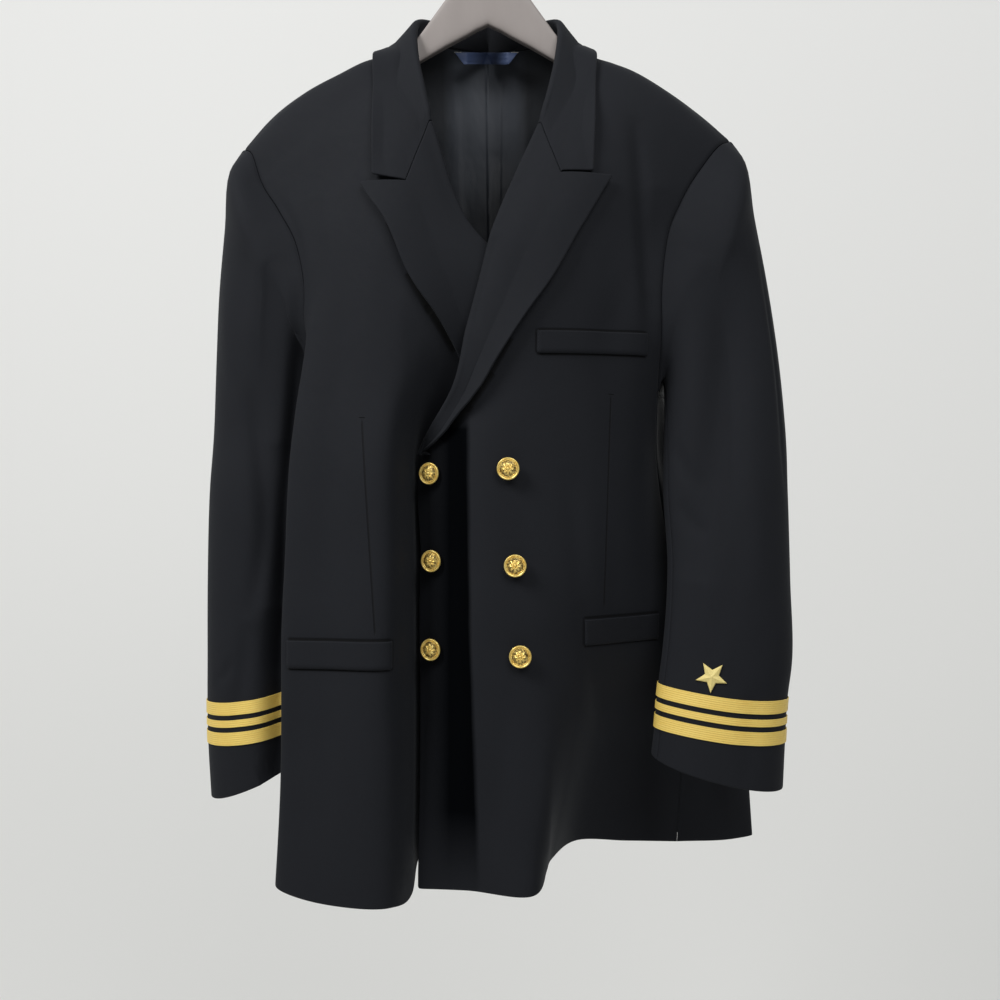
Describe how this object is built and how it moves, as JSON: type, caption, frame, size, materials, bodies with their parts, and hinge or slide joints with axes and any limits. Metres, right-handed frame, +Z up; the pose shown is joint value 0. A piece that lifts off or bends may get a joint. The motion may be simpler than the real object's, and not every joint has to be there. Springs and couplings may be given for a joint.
{
  "type": "double-breasted blazer on a hanger",
  "caption": "Navy double-breasted blazer with peaked lapels, gilt buttons and gold lace with a star round each cuff, hanging open-necked on a plain hanger.",
  "frame": {"origin": "inside of the hanger hook's crown, where the rail carries it", "axes": "+Z up, -Y towards whoever faces the jacket's front, +X the wearer's left"},
  "size_m": [0.6061, 0.1844, 1.0244],
  "materials": {
    "jacket_cloth": "matte navy wool with a soft nap",
    "lining": "dark navy satin",
    "label": "woven, matte",
    "gold_lace": "woven metallic thread, satin",
    "gilt_buttons": "polished gilt",
    "hanger": "satin",
    "hook_wire": "bright"
  },
  "bodies": {
    "root": {"front_left": "jacket_cloth", "front_right": "jacket_cloth", "side_left": "jacket_cloth", "side_right": "jacket_cloth", "back_left": "jacket_cloth", "back_right": "jacket_cloth", "lapel_left": "jacket_cloth", "lapel_right": "jacket_cloth", "collar": "jacket_cloth", "sleeve_top_left": "jacket_cloth", "sleeve_top_right": "jacket_cloth", "sleeve_under_left": "jacket_cloth", "sleeve_under_right": "jacket_cloth", "breast_welt": "jacket_cloth", "welt_left": "jacket_cloth", "welt_right": "jacket_cloth", "back_lining": "lining", "neck_label": "label", "lace_left_1": "gold_lace", "lace_left_2": "gold_lace", "lace_left_3": "gold_lace", "lace_right_1": "gold_lace", "lace_right_2": "gold_lace", "lace_right_3": "gold_lace", "star_left": "gold_lace", "star_right": "gold_lace", "button_left_1": "gilt_buttons", "button_left_2": "gilt_buttons", "button_left_3": "gilt_buttons", "button_right_1": "gilt_buttons", "button_right_2": "gilt_buttons", "button_right_3": "gilt_buttons", "hanger_body": "hanger", "hanger_hook": "hook_wire"}
  },
  "joints": []
}
